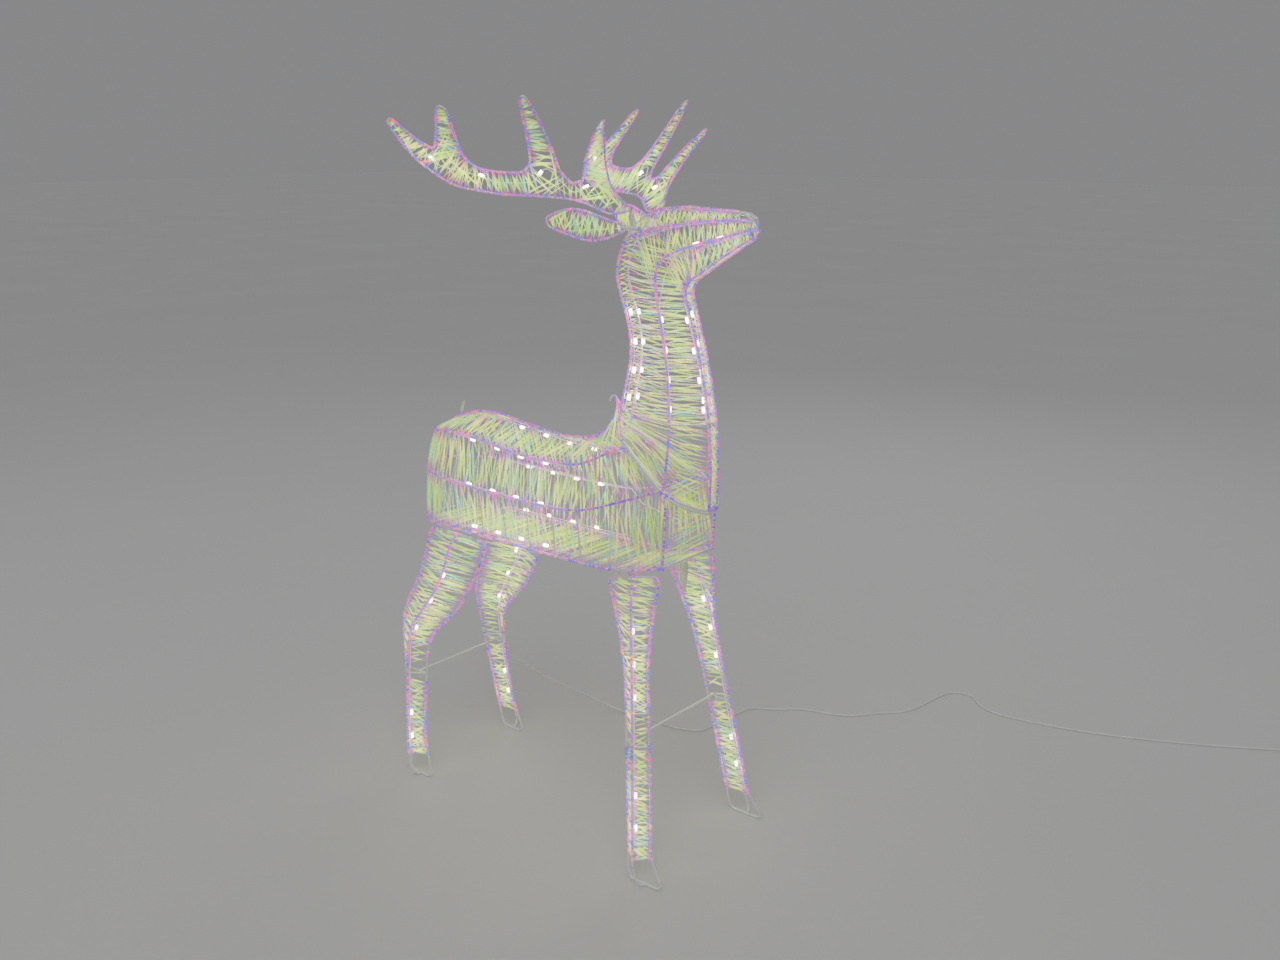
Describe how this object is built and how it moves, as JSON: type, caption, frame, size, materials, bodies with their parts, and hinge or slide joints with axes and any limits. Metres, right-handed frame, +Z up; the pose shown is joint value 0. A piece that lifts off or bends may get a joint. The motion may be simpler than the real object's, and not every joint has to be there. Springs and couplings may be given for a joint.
{
  "type": "light up yard reindeer",
  "caption": "Standing wire-frame reindeer yard figure wound with shiny film and small warm lights, with a lift-off head, clip-off legs and a lead cord.",
  "frame": {"origin": "on the floor at the middle of the figure's bounding box, cord left out", "axes": "+X the way the figure faces, +Y its left side, +Z up"},
  "size_m": [1.5052, 1.3533, 1.2535],
  "materials": {
    "wire": "white coated steel wire",
    "film": "iridescent film",
    "string_wire": "clear insulated wire",
    "bulb": "warm white bulb",
    "clip": "moulded clip",
    "clear_plastic": "clear flexible plastic",
    "adapter": "moulded housing",
    "pin": "bare contact pin"
  },
  "bodies": {
    "torso": {"torso_frame": "wire", "torso_film": "film", "torso_light_string": "string_wire", "torso_lights": "bulb", "tail_peg": "wire", "leg_clips": "clip", "connector_socket": "clear_plastic", "connector_plug": "clear_plastic"},
    "neck": {"neck_frame": "wire", "neck_film": "film", "neck_light_string": "string_wire", "neck_lights": "bulb", "right_antler_socket": "wire", "right_ear_socket": "wire", "left_antler_socket": "wire", "left_ear_socket": "wire"},
    "right_front_leg": {"right_front_leg_frame": "wire", "right_front_leg_film": "film", "right_front_leg_light_string": "string_wire", "right_front_leg_lights": "bulb"},
    "right_hind_leg": {"right_hind_leg_frame": "wire", "right_hind_leg_film": "film", "right_hind_leg_light_string": "string_wire", "right_hind_leg_lights": "bulb"},
    "left_front_leg": {"left_front_leg_frame": "wire", "left_front_leg_film": "film", "left_front_leg_light_string": "string_wire", "left_front_leg_lights": "bulb"},
    "left_hind_leg": {"left_hind_leg_frame": "wire", "left_hind_leg_film": "film", "left_hind_leg_light_string": "string_wire", "left_hind_leg_lights": "bulb", "exit_sleeve": "clear_plastic", "lead_cord": "clear_plastic", "lead_coil": "clear_plastic", "adapter_cord": "clear_plastic", "adapter": "adapter", "right_adapter_pin": "pin", "left_adapter_pin": "pin", "strain_relief": "adapter"},
    "right_antler": {"right_antler_frame": "wire", "right_antler_film": "film", "right_antler_light_string": "string_wire", "right_antler_lights": "bulb"},
    "right_ear": {"right_ear_frame": "wire", "right_ear_film": "film"},
    "left_antler": {"left_antler_frame": "wire", "left_antler_film": "film", "left_antler_light_string": "string_wire", "left_antler_lights": "bulb"},
    "left_ear": {"left_ear_frame": "wire", "left_ear_film": "film"},
    "front_brace": {"front_brace": "wire"},
    "rear_brace": {"rear_brace": "wire"}
  },
  "joints": [
    {"name": "neck_lift", "type": "slide", "parent": "torso", "child": "neck", "axis": [0, 0, 1], "range_m": [0, 0.03]},
    {"name": "front_brace_lift", "type": "slide", "parent": "torso", "child": "front_brace", "axis": [0, 0, 1], "range_m": [0, 0.015]},
    {"name": "rear_brace_lift", "type": "slide", "parent": "torso", "child": "rear_brace", "axis": [0, 0, 1], "range_m": [0, 0.015]},
    {"name": "right_front_leg_unclip", "type": "slide", "parent": "torso", "child": "right_front_leg", "axis": [0, 0, 1], "range_m": [-0.012, 0]},
    {"name": "right_hind_leg_unclip", "type": "slide", "parent": "torso", "child": "right_hind_leg", "axis": [0, 0, 1], "range_m": [-0.012, 0]},
    {"name": "left_front_leg_unclip", "type": "slide", "parent": "torso", "child": "left_front_leg", "axis": [0, 0, 1], "range_m": [-0.012, 0]},
    {"name": "left_hind_leg_unclip", "type": "slide", "parent": "torso", "child": "left_hind_leg", "axis": [0, 0, 1], "range_m": [-0.012, 0]},
    {"name": "right_antler_turn", "type": "hinge", "parent": "neck", "child": "right_antler", "pos_m": [0.1557, -0.035, 1.077], "axis": [0.1928, -0.5711, 0.798], "range_deg": [-6, 6]},
    {"name": "right_ear_turn", "type": "hinge", "parent": "neck", "child": "right_ear", "pos_m": [0.1497, -0.038, 1.057], "axis": [-0.9372, -0.3471, 0.0347], "range_deg": [-6, 6]},
    {"name": "left_antler_turn", "type": "hinge", "parent": "neck", "child": "left_antler", "pos_m": [0.1557, 0.035, 1.077], "axis": [0.1928, 0.5711, 0.798], "range_deg": [-6, 6]},
    {"name": "left_ear_turn", "type": "hinge", "parent": "neck", "child": "left_ear", "pos_m": [0.1497, 0.038, 1.057], "axis": [-0.9372, 0.3471, 0.0347], "range_deg": [-6, 6]}
  ]
}
